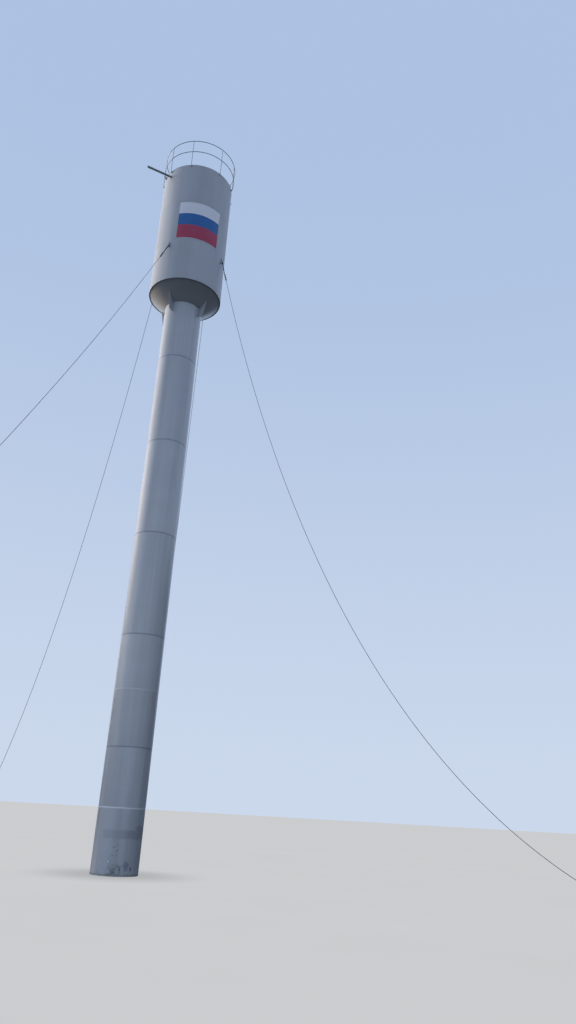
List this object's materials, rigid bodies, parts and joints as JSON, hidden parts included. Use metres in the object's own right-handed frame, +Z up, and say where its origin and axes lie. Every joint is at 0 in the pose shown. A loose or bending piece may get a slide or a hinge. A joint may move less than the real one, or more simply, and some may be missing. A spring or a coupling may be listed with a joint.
{
  "type": "steel water tower",
  "caption": "Guyed steel water tower: a cylindrical tank with a cone bottom on a round plate column, with a roof railing, an overflow pipe and guy stays.",
  "frame": {"origin": "centre of the column's foot plate, at ground level", "axes": "+Z up along the column; -Y to the front, the side with the painted panel between two guy stays; +X to its right"},
  "size_m": [18.1553, 20.384, 23.4615],
  "materials": {
    "column_paint": "satin",
    "tank_paint": "satin",
    "fitting_paint": "satin",
    "railing_paint": "satin",
    "galvanized": "matte",
    "wire_rope": "matte",
    "dark_pipe": "satin"
  },
  "bodies": {
    "root": {"foot_plate": "column_paint", "column_ring_1": "column_paint", "column_ring_2": "column_paint", "column_ring_3": "column_paint", "column_ring_4": "column_paint", "column_ring_5": "column_paint", "column_ring_6": "column_paint", "column_ring_7": "column_paint", "column_ring_8": "column_paint", "tank_bottom_cone": "tank_paint", "tank_roof": "tank_paint", "roof_vent": "tank_paint", "hatch_neck": "tank_paint", "hatch_lid": "tank_paint", "tank_ring_1": "tank_paint", "tank_ring_2": "tank_paint", "tank_ring_3": "tank_paint", "gusset_front_left": "fitting_paint", "gusset_front_right": "fitting_paint", "gusset_back_right": "fitting_paint", "gusset_back_left": "fitting_paint", "guy_lug_front_left": "fitting_paint", "guy_lug_front_right": "fitting_paint", "guy_lug_back_right": "fitting_paint", "guy_lug_back_left": "fitting_paint", "lifting_lug_left": "fitting_paint", "lifting_lug_right": "fitting_paint", "railing_section_1": "railing_paint", "railing_section_2": "railing_paint", "railing_section_3": "railing_paint", "turnbuckle_front_left": "galvanized", "turnbuckle_front_right": "galvanized", "turnbuckle_back_right": "galvanized", "turnbuckle_back_left": "galvanized", "guy_anchor_front_left": "galvanized", "guy_anchor_front_right": "galvanized", "guy_anchor_back_right": "galvanized", "guy_anchor_back_left": "galvanized", "guy_stay_front_left": "wire_rope", "guy_stay_front_right": "wire_rope", "guy_stay_back_right": "wire_rope", "guy_stay_back_left": "wire_rope", "overflow_pipe": "dark_pipe"}
  },
  "joints": []
}
